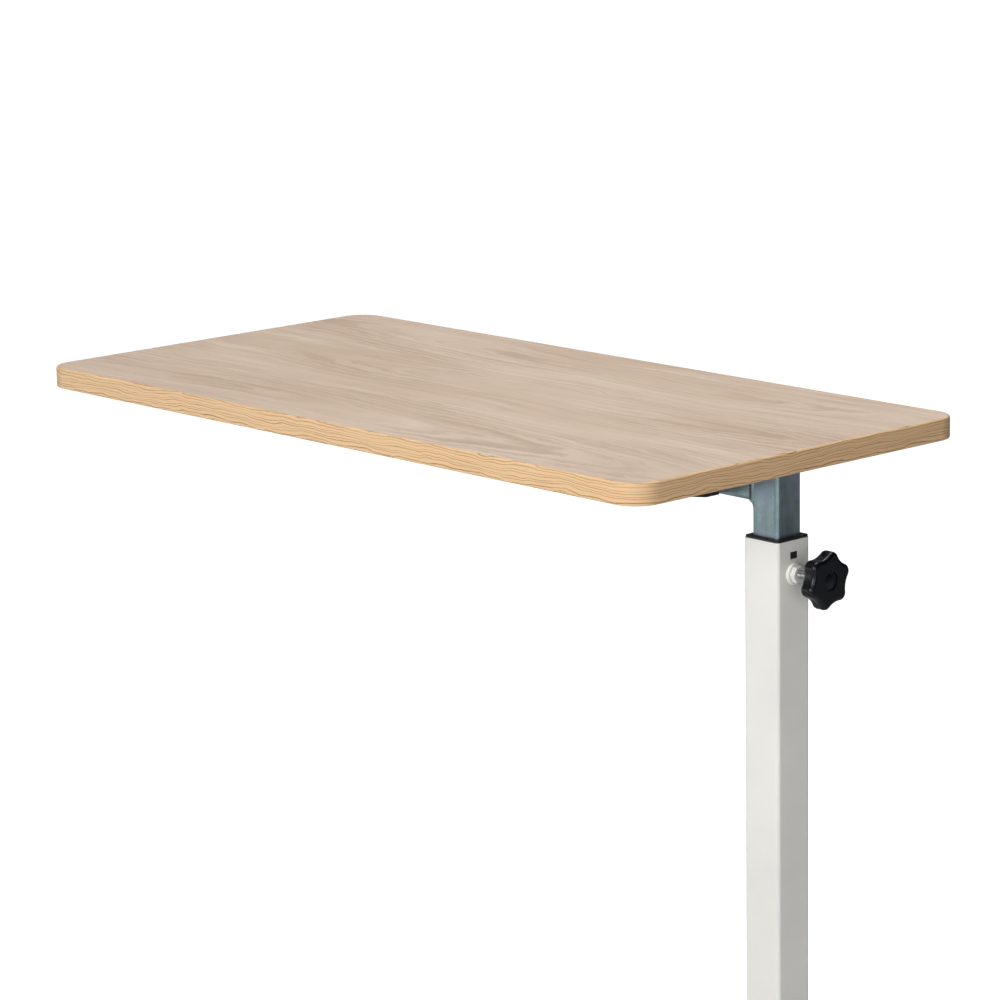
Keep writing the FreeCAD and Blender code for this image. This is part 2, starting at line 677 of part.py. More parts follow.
def wheel_solid(x, y, side):
    """One moulded wheel core: a rim and a hub joined by a dished web."""
    inner = y + side * WHEEL_INNER_Y
    middle = inner + side * WHEEL_WIDTH / 2
    outer = inner + side * WHEEL_WIDTH
    rim_r = WHEEL_R - TYRE
    core = across(x, middle, WHEEL_R, rim_r, WHEEL_WIDTH / 2)
    dish = across(x, outer, WHEEL_R, rim_r - 3.0, 4.0)
    hub = across(x, outer - side * 2.5, WHEEL_R, 6.5, 2.5)
    core = core.cut(dish).fuse(hub)
    return core.cut(across(x, inner, WHEEL_R, AXLE_R, WHEEL_WIDTH - 5)).removeSplitter()


def castor_wheels(index):
    x, y = CASTOR_PLACES[index]
    return Part.makeCompound([wheel_solid(x - CASTOR_TRAIL, y, side) for side in SIDES])


def castor_tyres(index):
    x, y = CASTOR_PLACES[index]
    tyres = []
    for side in SIDES:
        middle = y + side * (WHEEL_INNER_Y + WHEEL_WIDTH / 2)
        tread = across(x - CASTOR_TRAIL, middle, WHEEL_R, WHEEL_R, WHEEL_WIDTH / 2)
        tread = tread.makeFillet(2.2, [e for e in tread.Edges if isinstance(e.Curve, Part.Circle)])
        tyres.append(tread.cut(across(x - CASTOR_TRAIL, middle, WHEEL_R, WHEEL_R - TYRE, 20)))
    return Part.makeCompound(tyres)


def brake_pedal(index):
    """A rocking pedal on the back of the hood: a barrel and a tongue that is stepped on."""
    x, y = CASTOR_PLACES[index]
    pivot = pedal_pivot(x)
    barrel = across(pivot.x, y, pivot.z, 3.6, PEDAL_HALF)
    tongue = block(pivot.x - 17, pivot.x, y - PEDAL_HALF, y + PEDAL_HALF, pivot.z, pivot.z + 3.6)
    tip = [e for e in edges_along(tongue, Z_AXIS) if e.Vertexes[0].Point.x < pivot.x - 16]
    tongue = tongue.makeFillet(5.0, tip)
    bore = across(pivot.x, y, pivot.z, PIN_R + 0.05, 20)
    return barrel.fuse(tongue).cut(bore).removeSplitter()


def brake_pin(index):
    x, y = CASTOR_PLACES[index]
    pivot = pedal_pivot(x)
    return across(pivot.x, y, pivot.z, PIN_R, PEDAL_HALF + 0.4 + EAR)


# ---------------------------------------------------------------- every sub-part, by name
NODES = {
    "table_core": table_core,
    "top_laminate": top_laminate,
    "bottom_laminate": bottom_laminate,
    "edge_band": edge_band,
    "crossbar_screws": screws_crossbars,
    "arm_screws": screws_arm,
    "crossbar_inner": lambda: crossbar(BAR_NEAR_X),
    "crossbar_outer": lambda: crossbar(BAR_FAR_X),
    "support_arm": support_arm,
    "arm_end_plug": arm_end_plug,
    "inner_mast_tube": inner_mast_tube,
    "mast_glide": mast_glide,
    "arm_weld": arm_weld,
    "outer_mast_tube": outer_mast_tube,
    "mast_bush": mast_bush,
    "mast_flange": mast_flange,
    "mast_gussets": mast_gussets,
    "mast_foot_weld": mast_foot_weld,
    "mast_bolts": mast_bolts,
    "mast_washers": mast_washers,
    "mast_bolt_nuts": mast_bolt_nuts,
    "clamp_nut": clamp_nut,
    "clamp_nut_weld": clamp_nut_weld,
    "clamp_pad": clamp_pad,
    "clamp_stud": clamp_stud,
    "knob": knob,
    "knob_insert": knob_insert,
    "knob_cover": knob_cover,
    "base_crossbar": base_crossbar,
    "base_leg_left": lambda: base_leg(-1),
    "base_leg_right": lambda: base_leg(1),
    "leg_end_caps": leg_end_caps,
    "castor_sockets": castor_sockets,
    "castor_stems": castor_stems,
}
for number in range(len(CASTOR_PLACES)):
    name = f"castor_{number + 1}"
    NODES[f"{name}_housing"] = lambda n=number: castor_housing(n)
    NODES[f"{name}_axle"] = lambda n=number: castor_axle(n)
    NODES[f"{name}_wheels"] = lambda n=number: castor_wheels(n)
    NODES[f"{name}_tyres"] = lambda n=number: castor_tyres(n)
    if number in BRAKED:
        NODES[f"{name}_brake_pedal"] = lambda n=number: brake_pedal(n)
        NODES[f"{name}_brake_pin"] = lambda n=number: brake_pin(n)

os.makedirs("parts", exist_ok=True)
for name, make in NODES.items():
    make().exportStep(f"parts/{name}.step")
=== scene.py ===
"""Overbed table: materials, small detail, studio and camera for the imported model."""

import json
import math
import random

import bmesh
import bpy
from mathutils import Matrix, Vector


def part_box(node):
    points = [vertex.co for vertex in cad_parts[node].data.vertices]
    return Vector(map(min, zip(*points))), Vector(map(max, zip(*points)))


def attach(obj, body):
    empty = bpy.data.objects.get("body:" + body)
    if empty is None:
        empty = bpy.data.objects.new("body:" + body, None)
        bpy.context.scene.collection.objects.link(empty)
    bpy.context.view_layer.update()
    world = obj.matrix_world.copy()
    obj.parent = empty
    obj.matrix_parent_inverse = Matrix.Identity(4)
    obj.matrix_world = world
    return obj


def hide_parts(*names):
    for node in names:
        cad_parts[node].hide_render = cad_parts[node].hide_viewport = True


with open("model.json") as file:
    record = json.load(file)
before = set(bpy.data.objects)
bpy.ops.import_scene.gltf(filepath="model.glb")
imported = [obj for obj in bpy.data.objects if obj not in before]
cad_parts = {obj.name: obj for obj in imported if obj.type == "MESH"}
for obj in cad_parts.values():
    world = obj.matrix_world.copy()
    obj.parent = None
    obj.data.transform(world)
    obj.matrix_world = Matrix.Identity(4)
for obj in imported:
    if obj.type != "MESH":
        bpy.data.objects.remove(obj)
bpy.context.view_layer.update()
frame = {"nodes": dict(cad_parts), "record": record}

NODES = frame["nodes"]
RANDOM = random.Random(7)

# ---------------------------------------------------------------- places read from the frame
TOP_LOW, TOP_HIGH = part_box("edge_band")
POST_LOW, POST_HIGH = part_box("inner_mast_tube")
TUBE_LOW, TUBE_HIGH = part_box("outer_mast_tube")
ARM_LOW, ARM_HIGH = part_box("support_arm")
STUD_LOW, STUD_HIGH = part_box("clamp_stud")
NUT_LOW, NUT_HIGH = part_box("clamp_nut")
MAST_X = (POST_LOW.x + POST_HIGH.x) / 2
UNDERSIDE_Z = TOP_LOW.z
CLAMP_Z = (STUD_LOW.z + STUD_HIGH.z) / 2
TOP_WIDTH = TOP_HIGH.y - TOP_LOW.y


# ---------------------------------------------------------------- node-graph helper
class Graph:
    """Builds one material's node graph; every call returns an output socket."""

    def __init__(self, name):
        self.material = bpy.data.materials.new(name)
        self.material.use_nodes = True
        self.tree = self.material.node_tree
        self.shader = self.tree.nodes["Principled BSDF"]
        self.place = self.add("ShaderNodeTexCoord").outputs["Object"]

    def add(self, kind, **settings):
        node = self.tree.nodes.new(kind)
        for key, value in settings.items():
            setattr(node, key, value)
        return node

    def feed(self, socket, value):
        if isinstance(value, bpy.types.NodeSocket):
            self.tree.links.new(value, socket)
        elif value is not None:
            socket.default_value = value

    def math(self, operation, a, b=None, c=None):
        node = self.add("ShaderNodeMath", operation=operation)
        for socket, value in zip(node.inputs, (a, b, c)):
            self.feed(socket, value)
        return node.outputs[0]

    def scaled(self, vector, scale, shift=(0, 0, 0)):
        node = self.add("ShaderNodeMapping")
        self.feed(node.inputs["Vector"], vector)
        node.inputs["Scale"].default_value = scale
        node.inputs["Location"].default_value = shift
        return node.outputs[0]

    def split(self, vector):
        node = self.add("ShaderNodeSeparateXYZ")
        self.feed(node.inputs[0], vector)
        return node.outputs

    def join(self, x, y, z):
        node = self.add("ShaderNodeCombineXYZ")
        for socket, value in zip(node.inputs, (x, y, z)):
            self.feed(socket, value)
        return node.outputs[0]

    def noise(self, vector, scale=1.0, detail=3.0, roughness=0.5, distortion=0.0):
        node = self.add("ShaderNodeTexNoise")
        self.feed(node.inputs["Vector"], vector)
        self.feed(node.inputs["Scale"], scale)
        node.inputs["Detail"].default_value = detail
        node.inputs["Roughness"].default_value = roughness
        node.inputs["Distortion"].default_value = distortion
        return node.outputs["Fac"]

    def cells(self, vector, scale=1.0, feature="F1"):
        node = self.add("ShaderNodeTexVoronoi", feature=feature)
        self.feed(node.inputs["Vector"], vector)
        node.inputs["Scale"].default_value = scale
        return node.outputs

    def remap(self, value, low, high, to_low=0.0, to_high=1.0):
        node = self.add("ShaderNodeMapRange")
        node.clamp = True
        for key, number in (("Value", value), ("From Min", low), ("From Max", high),
                            ("To Min", to_low), ("To Max", to_high)):
            self.feed(node.inputs[key], number)
        return node.outputs[0]

    def mix(self, amount, first, second):
        node = self.add("ShaderNodeMix", data_type="RGBA")
        self.feed(node.inputs["Factor"], amount)
        for key, value in (("A", first), ("B", second)):
            if isinstance(value, tuple):
                value = (*value, 1.0)
            socket = [s for s in node.inputs if s.name == key and s.type == "RGBA"][0]
            self.feed(socket, value)
        return [s for s in node.outputs if s.type == "RGBA"][0]

    def surface(self, color, roughness, metallic=0.0, **constants):
        """Feeds the shader; constants are set on its own sockets."""
        if isinstance(color, tuple):
            color = (*color, 1.0)
        self.feed(self.shader.inputs["Base Color"], color)
        self.feed(self.shader.inputs["Roughness"], roughness)
        self.shader.inputs["Metallic"].default_value = metallic
        for key, value in constants.items():
            self.shader.inputs[key.replace("_", " ").title().replace("Ior", "IOR")].default_value = value

    def bump(self, height, distance, strength=1.0):
        node = self.add("ShaderNodeBump")
        node.inputs["Strength"].default_value = strength
        node.inputs["Distance"].default_value = distance
        self.feed(node.inputs["Height"], height)
        self.feed(self.shader.inputs["Normal"], node.outputs[0])


def srgb(red, green, blue):
    """A colour given as 0-255 display values, turned linear."""
    def linear(value):
        value /= 255
        return value / 12.92 if value <= 0.04045 else ((value + 0.055) / 1.055) ** 2.4
    return tuple(linear(v) for v in (red, green, blue))


# ---------------------------------------------------------------- wood
FLITCHES = 3
FLITCH = TOP_WIDTH / FLITCHES
RING = 0.0075                    # spacing of the growth rings, metres
PALE_ASH = srgb(226, 206, 187)
WARM_ASH = srgb(212, 188, 168)
DARK_ASH = srgb(184, 158, 138)
FLAME_ASH = srgb(235, 218, 200)
FIBRE_ASH = srgb(196, 174, 153)
PORE_ASH = srgb(160, 134, 112)


def wood_laminate():
    """Plain-sliced ash: three flitches of cathedral rings with pale flames and fine pores."""
    g = Graph("wood_laminate")
    x, y, _ = g.split(g.place)
    across = g.math("DIVIDE", g.math("SUBTRACT", y, TOP_LOW.y), FLITCH)
    flitch = g.math("FLOOR", across)
    offset = g.math("SINE", g.math("MULTIPLY_ADD", flitch, 4.3, 1.1))
    sway = g.noise(g.scaled(g.place, (2.2, 5.0, 1.0)), 1.0, 2.0)
    sway = g.math("MULTIPLY", g.math("SUBTRACT", sway, 0.5), 0.085)
    heart = g.math("SUBTRACT", g.math("FRACT", across), 0.5)
    heart = g.math("MULTIPLY_ADD", offset, 0.16, heart)
    side = g.math("ADD", g.math("MULTIPLY", heart, FLITCH), sway)
    depth = g.math("MULTIPLY_ADD", g.math("MULTIPLY_ADD", offset, 0.22, x), 0.075, 0.002)
    radius = g.math("SQRT", g.math("ADD", g.math("POWER", side, 2.0), g.math("POWER", depth, 2.0)))
    wander = g.noise(g.scaled(g.place, (16.0, 60.0, 1.0)), 1.0, 5.0, 0.65)
    radius = g.math("MULTIPLY_ADD", wander, 0.016, radius)
    rings = g.math("DIVIDE", radius, RING)
    spacing = g.noise(g.join(0.0, 0.0, rings), 0.45, 2.0)
    turn = g.math("FRACT", g.math("MULTIPLY_ADD", spacing, 2.4, rings))
    late = g.remap(turn, 0.0, 0.75, 0.0, 1.0)
    late = g.math("MULTIPLY", g.math("POWER", late, 2.2), g.remap(turn, 0.86, 1.0, 1.0, 0.0))
    fibre = g.noise(g.scaled(g.place, (22.0, 1500.0, 1.0)), 1.0, 3.0, 0.65)
    pores = g.noise(g.scaled(g.place, (70.0, 2600.0, 1.0)), 1.0, 2.0, 0.5)
    pores = g.math("MULTIPLY", g.remap(pores, 0.60, 0.72), late)
    cloud = g.noise(g.scaled(g.place, (3.0, 16.0, 1.0)), 1.0, 3.0)
    figure = g.remap(g.noise(g.scaled(g.place, (3.4, 15.0, 1.0), (3, 5, 0)), 1.0, 3.0), 0.42, 0.62)
    flame = g.noise(g.join(g.math("MULTIPLY", x, 5.0), g.math("MULTIPLY", radius, 95.0), flitch),
                    1.0, 3.0, 0.6)
    ring_tone = g.math("MULTIPLY", g.math("MULTIPLY", late, 0.62), g.remap(figure, 0, 1, 0.12, 1))
    color = g.mix(g.remap(cloud, 0.3, 0.7), WARM_ASH, PALE_ASH)
    color = g.mix(ring_tone, color, DARK_ASH)
    color = g.mix(g.remap(flame, 0.53, 0.69, 0.0, 0.55), color, FLAME_ASH)
    color = g.mix(g.remap(flame, 0.46, 0.34, 0.0, 0.28), color, DARK_ASH)
    color = g.mix(g.remap(fibre, 0.35, 0.7, 0.0, 0.28), color, FIBRE_ASH)
    color = g.mix(g.math("MULTIPLY", pores, 0.45), color, PORE_ASH)
    grain = g.math("ADD", g.math("MULTIPLY", fibre, 0.5), g.math("MULTIPLY", pores, -0.6))
    g.surface(color, g.remap(fibre, 0.3, 0.7, 0.42, 0.52), specular_ior_level=0.42)
    g.bump(grain, 0.00006, 0.5)
    return g.material


EDGE_RING = 0.0027               # spacing of the lines on the edge band, metres


def wood_edge():
    """The printed edge band: thin wavy rings that run along the band."""
    g = Graph("wood_edge")
    x, y, z = g.split(g.place)
    along = g.math("SUBTRACT", x, y)
    level = g.math("SUBTRACT", z, TOP_LOW.z)
    path = g.join(along, level, 0.0)
    swell = g.math("SUBTRACT", g.noise(g.scaled(path, (13.0, 30.0, 1.0)), 1.0, 2.0), 0.5)
    ripple = g.math("SUBTRACT", g.noise(g.scaled(path, (55.0, 90.0, 1.0)), 1.0, 3.0), 0.5)
    bent = g.math("MULTIPLY_ADD", swell, 0.014, g.math("MULTIPLY_ADD", ripple, 0.0038, level))
    rings = g.math("DIVIDE", bent, EDGE_RING)
    spacing = g.noise(g.join(0.0, 0.0, rings), 0.7, 2.0)
    phase = g.math("FRACT", g.math("MULTIPLY_ADD", spacing, 2.2, rings))
    from_middle = g.math("ABSOLUTE", g.math("SUBTRACT", g.math("MULTIPLY", phase, 2.0), 1.0))
    line = g.math("POWER", from_middle, 4.0)
    strength = g.remap(g.noise(g.scaled(path, (9.0, 240.0, 1.0)), 1.0, 2.0), 0.32, 0.58, 0.4, 1.0)
    fibre = g.noise(g.scaled(path, (30.0, 2400.0, 1.0)), 1.0, 3.0)
    color = g.mix(g.remap(fibre, 0.3, 0.7), srgb(238, 200, 154), srgb(225, 186, 140))
    color = g.mix(g.math("MULTIPLY", line, strength), color, srgb(128, 86, 48))
    g.surface(color, 0.45, specular_ior_level=0.4)
    g.bump(line, 0.00005, 0.4)
    return g.material


def backing_laminate():
    """The plain balancing sheet under the board, with a fine printed texture."""
    g = Graph("backing_laminate")
    fine = g.noise(g.scaled(g.place, (900.0, 900.0, 900.0)), 1.0, 2.0)
    cloud = g.noise(g.place, 9.0, 3.0)
    color = g.mix(g.remap(cloud, 0.35, 0.65), srgb(226, 222, 213), srgb(218, 213, 203))
    g.surface(color, g.remap(fine, 0.3, 0.7, 0.5, 0.62), specular_ior_level=0.35)
    g.bump(fine, 0.00005, 0.5)
    return g.material


def board():
    """Chipboard, seen only in its screw holes and on a bare edge."""
    g = Graph("board")
    chips = g.cells(g.scaled(g.place, (420.0, 420.0, 900.0)))
    color = g.mix(g.remap(chips[0], 0.0, 0.8), srgb(196, 163, 118), srgb(150, 117, 78))
    g.surface(color, 0.85)
    g.bump(chips[0], 0.0002, 0.6)
    return g.material


# ---------------------------------------------------------------- metals
def zinc_steel():
    """Passivated galvanised tube: a cloudy blue-grey film with faint drawing lines."""
    g = Graph("zinc_steel")
    cloud = g.noise(g.place, 38.0, 4.0, 0.6, 0.6)
    stain = g.noise(g.scaled(g.place, (60.0, 60.0, 14.0)), 1.0, 3.0)
    lines = g.noise(g.scaled(g.place, (1400.0, 1400.0, 26.0)), 1.0, 2.0)
    specks = g.remap(g.noise(g.place, 420.0, 2.0), 0.64, 0.74)
    color = g.mix(g.remap(cloud, 0.38, 0.62), srgb(136, 160, 158), srgb(158, 170, 188))
    color = g.mix(g.remap(stain, 0.42, 0.68, 0.0, 0.75), color, srgb(116, 130, 138))
    color = g.mix(g.math("MULTIPLY", specks, 0.45), color, srgb(196, 204, 206))
    rough = g.remap(cloud, 0.3, 0.7, 0.3, 0.46)
    g.surface(color, rough, 0.85, specular_ior_level=0.5)
    g.bump(g.math("ADD", lines, g.math("MULTIPLY", cloud, 2.0)), 0.00006, 0.35)
    return g.material


def weld_scale_and_painted_shade():
    """Bare weld metal: dark heat scale, made darker still by painted shade of the joint, with brighter
    ripple crests.
    """
    g = Graph("weld_scale_and_painted_shade")
    scale = g.noise(g.place, 900.0, 3.0, 0.6)
    tint = g.noise(g.place, 160.0, 2.0)
    # painted shade: these dark tones are the weld's heat scale and also the shade that falls in the
    # joint between arm and post
    color = g.mix(g.remap(tint, 0.35, 0.65), srgb(58, 62, 74), srgb(84, 88, 94))
    color = g.mix(g.remap(scale, 0.5, 0.75, 0.0, 0.6), color, srgb(138, 146, 152))
    g.surface(color, g.remap(scale, 0.3, 0.7, 0.35, 0.6), 0.8)
    g.bump(scale, 0.0001, 0.6)
    return g.material


def zinc_fastener():
    """Bright zinc plate on screws, bolts and pins."""
    g = Graph("zinc_fastener")
    cloud = g.noise(g.place, 240.0, 3.0, 0.6)
    turned = g.noise(g.scaled(g.place, (2600.0, 700.0, 2600.0)), 1.0, 2.0)
    color = g.mix(g.remap(cloud, 0.35, 0.65), srgb(190, 192, 192), srgb(168, 171, 173))
    g.surface(color, g.remap(cloud, 0.3, 0.7, 0.26, 0.42), 1.0)
    g.bump(turned, 0.00003, 0.4)
    return g.material


def painted(name, color, shade, orange_peel, roughness):
    """Powder coat: a fine orange-peel surface with slight tone changes."""
    g = Graph(name)
    peel = g.noise(g.place, 620.0, 2.0, 0.5)
    fine = g.noise(g.place, 2400.0, 2.0, 0.5)
    tone = g.noise(g.place, 14.0, 3.0)
    g.surface(g.mix(g.remap(tone, 0.35, 0.65), color, shade),
              g.remap(fine, 0.3, 0.7, roughness, roughness + 0.1), specular_ior_level=0.5)
    g.bump(g.math("MULTIPLY_ADD", fine, 0.25, peel), orange_peel, 0.5)
    return g.material


# ---------------------------------------------------------------- plastics and rubber
def moulded(name, color, worn, grain_scale, grain, roughness, shine):
    """Moulded plastic: a spark-eroded grain, slightly polished where it is touched."""
    g = Graph(name)
    stipple = g.cells(g.place, grain_scale, "SMOOTH_F1")[0]
    fine = g.noise(g.place, grain_scale * 2.3, 2.0)
    touch = g.noise(g.place, 55.0, 3.0)
    rough = g.remap(touch, 0.35, 0.7, roughness, roughness + 0.14)
    g.surface(g.mix(g.remap(fine, 0.35, 0.65), color, worn), rough, specular_ior_level=shine)
    g.bump(g.math("ADD", stipple, fine), grain, 0.5)
    return g.material


def wheel_rubber():
    """Grey tread, dusty in places."""
    g = Graph("wheel_rubber")
    dust = g.noise(g.place, 130.0, 4.0, 0.65)
    fine = g.noise(g.place, 1500.0, 2.0)
    color = g.mix(g.remap(dust, 0.45, 0.75), srgb(92, 93, 96), srgb(122, 121, 118))
    g.surface(color, g.remap(fine, 0.3, 0.7, 0.55, 0.72))
    g.bump(fine, 0.00008, 0.5)
    return g.material


PAINTS = {                       # two tones, orange peel in metres, roughness
    "white_powder_coat": (srgb(238, 237, 231), srgb(232, 231, 226), 0.00009, 0.34),
    "black_steel": (srgb(34, 34, 36), srgb(28, 28, 30), 0.00012, 0.45),
}
PLASTICS = {                     # two tones, grain's scale and height, roughness, shine
    "black_plastic": (srgb(14, 14, 17), srgb(20, 20, 23), 1400.0, 0.00005, 0.4, 0.5),
    "knob_plastic": (srgb(5, 7, 15), srgb(9, 11, 20), 1100.0, 0.00004, 0.24, 0.34),
    "castor_plastic": (srgb(38, 38, 41), srgb(48, 48, 50), 1500.0, 0.00006, 0.42, 0.5),
    "wheel_plastic": (srgb(60, 61, 64), srgb(74, 74, 77), 1500.0, 0.00005, 0.4, 0.5),
    "pedal_plastic": (srgb(178, 34, 30), srgb(190, 50, 42), 1200.0, 0.00005, 0.3, 0.5),
}
SINGLE_FINISHES = (wood_laminate, wood_edge, backing_laminate, board, zinc_steel, weld_scale_and_painted_shade,
                   zinc_fastener, wheel_rubber)
MATERIALS = {make.__name__: make() for make in SINGLE_FINISHES}
MATERIALS.update({name: painted(name, *finish) for name, finish in PAINTS.items()})
MATERIALS.update({name: moulded(name, *finish) for name, finish in PLASTICS.items()})


# ---------------------------------------------------------------- small detail
MM = 0.001


def new_piece(name, mesh, material_slot, body, look=None):
    """Links a mesh as a visible piece on a CAD body; look is a finish other than its slot's."""
    for face in mesh.polygons:
        face.use_smooth = True
    mesh.materials.append(MATERIALS[look or material_slot])
    piece = bpy.data.objects.new(name, mesh)
    bpy.context.scene.collection.objects.link(piece)
    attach(piece, body)
    return piece


def rings_mesh(name, rings, closed=False):
    """A skin over equal rings of points; the ends are capped unless it closes on itself."""
    shape = bmesh.new()
    rows = [[shape.verts.new(point) for point in ring] for ring in rings]
    count = len(rows[0])
    pairs = list(zip(rows, rows[1:]))
    if closed:
        pairs.append((rows[-1], rows[0]))
    for first, second in pairs:
        for k in range(count):
            after = (k + 1) % count
            shape.faces.new((first[k], first[after], second[after], second[k]))
    if not closed:
        shape.faces.new(reversed(rows[0]))
        shape.faces.new(rows[-1])
    bmesh.ops.recalc_face_normals(shape, faces=shape.faces)
    mesh = bpy.data.meshes.new(name)
    shape.to_mesh(mesh)
    shape.free()
    return mesh


THREAD_PITCH = 1.25 * MM
THREAD_DEPTH = 0.62 * MM
THREAD_SIDES = 40
THREAD_STEPS = 10


def thread_radius(along, turn, outer):
    """The thread's height at a place: flat crests and roots with straight flanks."""
    phase = (along / THREAD_PITCH - turn) % 1.0
    height = min(1.0, max(0.0, 2.4 * (1 - abs(2 * phase - 1)) - 0.7))
    return outer - THREAD_DEPTH * (1 - height)


def threaded_stud():
    """The clamp stud with its real thread, in place of the plain CAD rod."""
    outer = (STUD_HIGH.z - STUD_LOW.z) / 2
    length = STUD_HIGH.x - STUD_LOW.x
    rows = int(length / THREAD_PITCH * THREAD_STEPS)
    rings = []
    for row in range(rows + 1):
        along = length * row / rows
        start = min(1.0, 0.75 + along / (1.2 * MM))
        ring = []
        for k in range(THREAD_SIDES):
            turn = k / THREAD_SIDES
            radius = thread_radius(along, turn, outer) * start
            angle = 2 * math.pi * turn
            ring.append((STUD_LOW.x + along, radius * math.cos(angle),
                         CLAMP_Z + radius * math.sin(angle)))
        rings.append(ring)
    piece = new_piece("clamp_stud_thread", rings_mesh("clamp_stud_thread", rings),
                      "zinc_fastener", "clamp_screw")
    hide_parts("clamp_stud")


BEAD_SIDES = 14
RIPPLE = 1.5 * MM


def bead_rings(path, radius, closed):
    """Rings of a weld bead along a path: each ripple is a frozen drop over the one before."""
    rings = []
    travelled = 0.0
    count = len(path)
    for k, centre in enumerate(path):
        before = path[k - 1] if closed else path[max(k - 1, 0)]
        after = path[(k + 1) % count] if closed else path[min(k + 1, count - 1)]
        ahead = (after - before).normalized()
        travelled += (after - before).length / 2
        side = ahead.orthogonal().normalized()
        if abs(ahead.x) < 0.9:
            side = ahead.cross(Vector((1, 0, 0))).normalized()
        up = ahead.cross(side)
        drop = (travelled / RIPPLE) % 1.0
        swell = radius * (0.84 + 0.18 * math.sqrt(1 - drop) + RANDOM.uniform(-0.03, 0.03))
        if not closed and k in (0, count - 1):
            swell *= 0.4
        rings.append([centre + swell * (math.cos(a) * side + math.sin(a) * up)
                      for a in (2 * math.pi * n / BEAD_SIDES for n in range(BEAD_SIDES))])
    return rings


def straight_path(start, end, step=0.3 * MM):
    """Evenly spaced places from start to end."""
    count = max(3, int((end - start).length / step))
    return [start.lerp(end, k / count) for k in range(count + 1)]


def bead_piece(name, path, radius, material_slot, body, look=None, closed=False):
    mesh = rings_mesh(name, bead_rings(path, radius, closed), closed)
    new_piece(name, mesh, material_slot, body, look)


def arm_beads():
    """The upright beads at the arm's sides and the two runs under its end."""
    half = (POST_HIGH.y - POST_LOW.y) / 2
    low = ARM_LOW.z + 1.5 * MM
    high = ARM_HIGH.z - 4 * MM
    x = ARM_HIGH.x - 0.4 * MM
    for side, name in ((-1, "left"), (1, "right")):
        y = side * (half - 1.2 * MM)
        path = straight_path(Vector((x, y, low)), Vector((x, y, high)))
        bead_piece(f"arm_bead_{name}", path, 2.5 * MM, "zinc_steel", "table_top", "weld_scale_and_painted_shade")
    flat = half - 4 * MM
    for back, drop, name in ((4.6 * MM, 0.6 * MM, "upper"), (1.0 * MM, 4.6 * MM, "lower")):
        x = ARM_HIGH.x - back
        z = ARM_LOW.z - drop
        path = straight_path(Vector((x, -flat, z)), Vector((x, flat, z)))
        bead_piece(f"arm_bead_{name}", path, 1.9 * MM, "zinc_steel", "table_top", "weld_scale_and_painted_shade")


def nut_bead():
    """The painted bead round the clamp nut."""
    reach = (NUT_HIGH.y - NUT_LOW.y) / 2 + 0.3 * MM
    x = NUT_LOW.x + 0.7 * MM
    steps = 150
    circle = [Vector((x, reach * math.cos(a), CLAMP_Z + reach * math.sin(a)))
              for a in (2 * math.pi * k / steps for k in range(steps))]
    bead_piece("nut_bead", circle, 1.9 * MM, "white_powder_coat", "base", closed=True)


def foot_beads():
    """The painted beads at the foot of the mast."""
    foot = TUBE_LOW.z + 1.0 * MM
    half = 16 * MM
    for side, name in ((-1, "inner"), (1, "outer")):
        x = MAST_X + side * ((TUBE_HIGH.x - TUBE_LOW.x) / 2 + 1.0 * MM)
        path = straight_path(Vector((x, -half, foot)), Vector((x, half, foot)), 0.5 * MM)
        bead_piece(f"foot_bead_{name}", path, 2.2 * MM, "white_powder_coat", "base")


def spatter(name, count, centre, spread, face, material_slot, body):
    """Small frozen drops of weld metal scattered on a flat face; face is its outward axis."""
    shape = bmesh.new()
    for _ in range(count):
        radius = RANDOM.uniform(0.2, 0.55) * MM
        shift = Vector([RANDOM.gauss(0, 1) * s for s in spread])
        flatten = Matrix.Diagonal(Vector([0.5 if abs(c) > 0.5 else 1.0 for c in face])).to_4x4()
        place = Matrix.Translation(Vector(centre) + shift) @ flatten
        bmesh.ops.create_icosphere(shape, subdivisions=2, radius=radius, matrix=place)
    mesh = bpy.data.meshes.new(name)
    shape.to_mesh(mesh)
    shape.free()
    new_piece(name, mesh, material_slot, body)


def weld_spatter():
    """Drops beside the arm's weld and above the clamp nut."""
    spatter("arm_spatter", 9, (MAST_X - 6 * MM, POST_LOW.y, ARM_HIGH.z - 12 * MM),
            (4 * MM, 0, 5 * MM), (0, 1, 0), "zinc_steel", "table_top")
    spatter("nut_spatter", 8, (TUBE_HIGH.x, 0, CLAMP_Z + 11 * MM),
            (0, 5 * MM, 2.5 * MM), (1, 0, 0), "white_powder_coat", "base")


def dress_cad_nodes():
    """Gives each CAD node its slot's material."""
    for part in frame["record"]["subparts"]:
        node = NODES[part["node"]]
        node.data.materials.clear()
        node.data.materials.append(MATERIALS[part["material_slot"]])


# ---------------------------------------------------------------- studio
CAMERA_FROM_EDGE = Vector((2.1434, -2.3126, 0.6708))
CAMERA_YAW = math.radians(-47.499)
CAMERA_PITCH = math.radians(12.391)
CAMERA_ROLL = math.radians(0.998)
CAMERA_LENS = 137.99
CAMERA_SENSOR = 36.0
CAMERA_REACH = 60.0
FLOOR_HALF = 30.0
FLOOR_LIFT = 1.0
BRIGHT_SIDE = (-0.75, -0.65, 0.2)
BRIGHT = 0.089
DIM = 0.0214
KEY_WATTS = 80
TOP_WATTS = 70
STRIP_WATTS = 15
FILL_WATTS = 26


